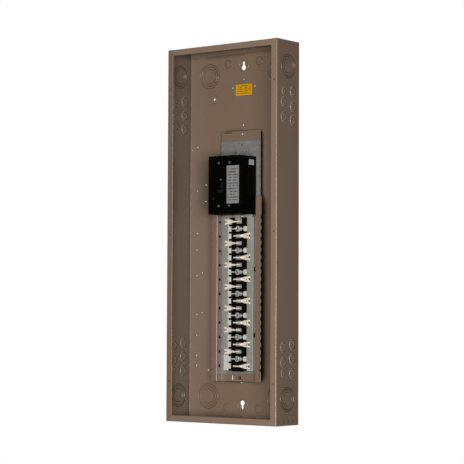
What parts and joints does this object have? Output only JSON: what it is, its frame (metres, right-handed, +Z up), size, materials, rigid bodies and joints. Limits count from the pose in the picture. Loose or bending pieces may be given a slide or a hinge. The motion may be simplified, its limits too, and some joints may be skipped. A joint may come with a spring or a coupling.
{
  "type": "plug-on load center",
  "caption": "Open wall-mounted steel load center box with a pan of plug-on stabs on bus bars, and a main circuit breaker with a swinging handle and a push-to-trip button.",
  "frame": {"origin": "centre of the box's back face, on the wall plane", "axes": "+Z up, +Y into the wall, the open front faces -Y, +X to the right seen from the front"},
  "size_m": [0.3634, 0.0986, 0.9906],
  "materials": {
    "tan_paint": "satin",
    "zinc_steel": "satin",
    "galvanised": "satin",
    "tinned_bus": "satin",
    "black_insulator": "satin",
    "pale_insulator": "satin",
    "breaker_case": "satin",
    "black_plastic": "gloss",
    "copper": "satin",
    "fibre": "matte",
    "lug_aluminium": "satin",
    "yellow_label": "satin",
    "white_label": "satin"
  },
  "bodies": {
    "enclosure": {"box_wrapper": "tan_paint", "top_end_wall": "tan_paint", "bottom_end_wall": "tan_paint", "caution_label": "yellow_label", "interior_pan": "tan_paint", "pan_standoffs": "zinc_steel", "pan_screws": "zinc_steel", "pan_plate": "galvanised", "bus_insulator": "black_insulator", "bus_supports": "pale_insulator", "bus_bar_a": "tinned_bus", "bus_bar_b": "tinned_bus", "bus_bar_c": "tinned_bus", "stabs_a": "tinned_bus", "stabs_b": "tinned_bus", "stabs_c": "tinned_bus", "stab_screws": "zinc_steel", "load_strap_a": "tinned_bus", "load_strap_b": "tinned_bus", "load_strap_c": "tinned_bus", "strap_screws": "zinc_steel", "breaker_base": "breaker_case", "breaker_cover": "breaker_case", "mounting_screws": "zinc_steel", "breaker_nameplate": "white_label", "side_sticker": "white_label", "position_marker": "white_label", "line_lugs": "lug_aluminium", "lug_screws": "zinc_steel", "line_terminals": "copper", "load_terminals": "copper", "arc_chutes": "zinc_steel", "arc_chute_frames": "fibre", "mechanism_frame": "zinc_steel", "handle_pin": "zinc_steel", "cradle": "zinc_steel", "latch": "zinc_steel", "trip_magnets": "zinc_steel", "bimetals": "copper", "braids": "copper"},
    "handle_lever": {"handle": "black_plastic", "toggle_spring": "zinc_steel"},
    "contact_bar": {"crossbar": "breaker_case", "contact_arms": "copper", "toggle_links": "zinc_steel"},
    "trip_shaft": {"trip_bar": "black_plastic"},
    "push_to_trip": {"trip_button": "black_plastic"}
  },
  "joints": [
    {"name": "handle_swing", "type": "hinge", "parent": "enclosure", "child": "handle_lever", "pos_m": [-0.007, -0.058, 0.122], "axis": [-1, 0, 0], "range_deg": [0, 36]},
    {"name": "contact_bar_turn", "type": "hinge", "parent": "enclosure", "child": "contact_bar", "pos_m": [0, -0.032, 0.112], "axis": [-1, 0, 0], "range_deg": [0, 28]},
    {"name": "push_to_trip_slide", "type": "slide", "parent": "enclosure", "child": "push_to_trip", "axis": [0, 1, 0], "range_m": [0, 0.0025], "stiffness_N_per_m": 300, "springref_m": -0.001},
    {"name": "trip_shaft_turn", "type": "hinge", "parent": "enclosure", "child": "trip_shaft", "pos_m": [0, -0.044, 0.084], "axis": [-1, 0, 0], "range_deg": [0, 18]}
  ],
  "couplings": [
    {"joint": "contact_bar_turn", "follows": "handle_swing", "ratio": 0.77778},
    {"joint": "trip_shaft_turn", "follows": "push_to_trip_slide", "rad_per_m": 120}
  ]
}
